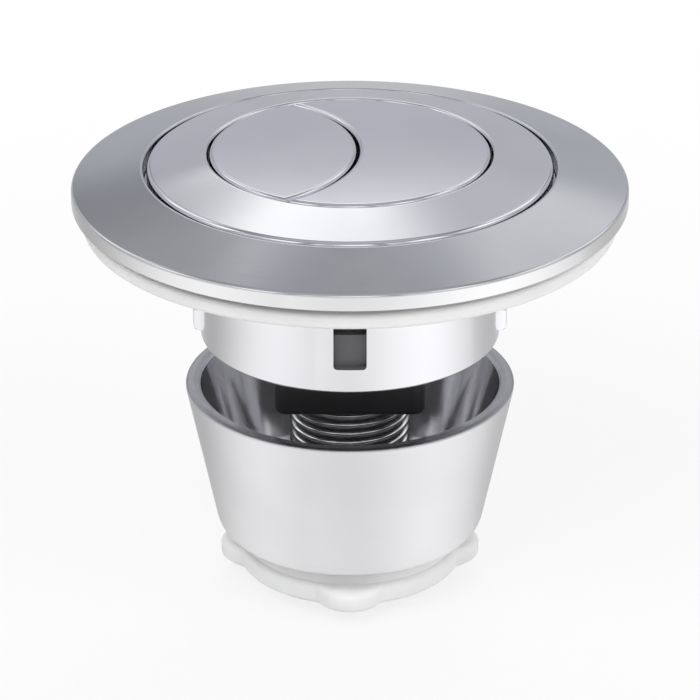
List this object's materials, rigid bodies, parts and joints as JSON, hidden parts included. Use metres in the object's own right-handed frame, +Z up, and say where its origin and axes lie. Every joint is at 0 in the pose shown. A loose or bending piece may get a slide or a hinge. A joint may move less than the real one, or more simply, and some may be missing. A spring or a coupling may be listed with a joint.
{
  "type": "push button cistern actuator",
  "caption": "Round dual flush push button for a cistern lid: split button face in a chromed ring, barrel, threaded stem with a square backnut, and a clamp cup run up by a lobed nut.",
  "frame": {"origin": "on the button's axis, in the plane of the gasket's underside, where the cistern lid's top lies", "axes": "+Z up out of the lid, +X from the half flush button to the full flush button, -Y to the front"},
  "size_m": [0.075, 0.075, 0.0635],
  "materials": {
    "seal": "soft translucent off-white",
    "ring_chrome": "polished chrome plate",
    "housing_chrome": "polished chrome plate",
    "stem_chrome": "bright plated thread",
    "washer_rubber": "matt black",
    "black_plastic": "moulded black",
    "cup_chrome": "satin outside, bright inside",
    "white_plastic": "moulded natural white",
    "button_chrome": "polished chrome plate",
    "plunger_plastic": "moulded light grey",
    "rod_plastic": "moulded natural white",
    "steel": "bright drawn steel",
    "insert_plastic": "moulded dark grey"
  },
  "bodies": {
    "head": {"gasket": "seal", "cover_ring": "ring_chrome", "housing": "housing_chrome", "threaded_stem": "stem_chrome", "stem_washer": "washer_rubber", "backnut": "black_plastic", "guide_insert": "insert_plastic", "insert_screws": "steel", "half_flush_spring": "steel", "full_flush_spring": "steel"},
    "half_button": {"half_flush_cap": "button_chrome", "half_flush_plunger": "plunger_plastic", "half_flush_rod": "rod_plastic", "half_rod_screw": "steel"},
    "full_button": {"full_flush_cap": "button_chrome", "full_flush_plunger": "plunger_plastic", "full_flush_rod": "rod_plastic", "full_rod_screw": "steel"},
    "cup": {"clamp_cup": "cup_chrome"},
    "nut": {"clamp_nut": "white_plastic"}
  },
  "joints": [
    {"name": "half_flush_press", "type": "slide", "parent": "head", "child": "half_button", "axis": [0, 0, -1], "range_m": [0, 0.005], "stiffness_N_per_m": 300, "springref_m": -0.004, "deforming": ["half_flush_spring"]},
    {"name": "full_flush_press", "type": "slide", "parent": "head", "child": "full_button", "axis": [0, 0, -1], "range_m": [0, 0.005], "stiffness_N_per_m": 300, "springref_m": -0.004, "deforming": ["full_flush_spring"]},
    {"name": "clamp_travel", "type": "slide", "parent": "head", "child": "cup", "axis": [0, 0, 1], "range_m": [0, 0.007]},
    {"name": "nut_turn", "type": "hinge", "parent": "cup", "child": "nut", "pos_m": [0, 0, -0.0484], "axis": [0, 0, 1], "range_deg": [0, 1890]}
  ],
  "couplings": [
    {"joint": "nut_turn", "follows": "clamp_travel", "rad_per_m": 4699.5}
  ]
}
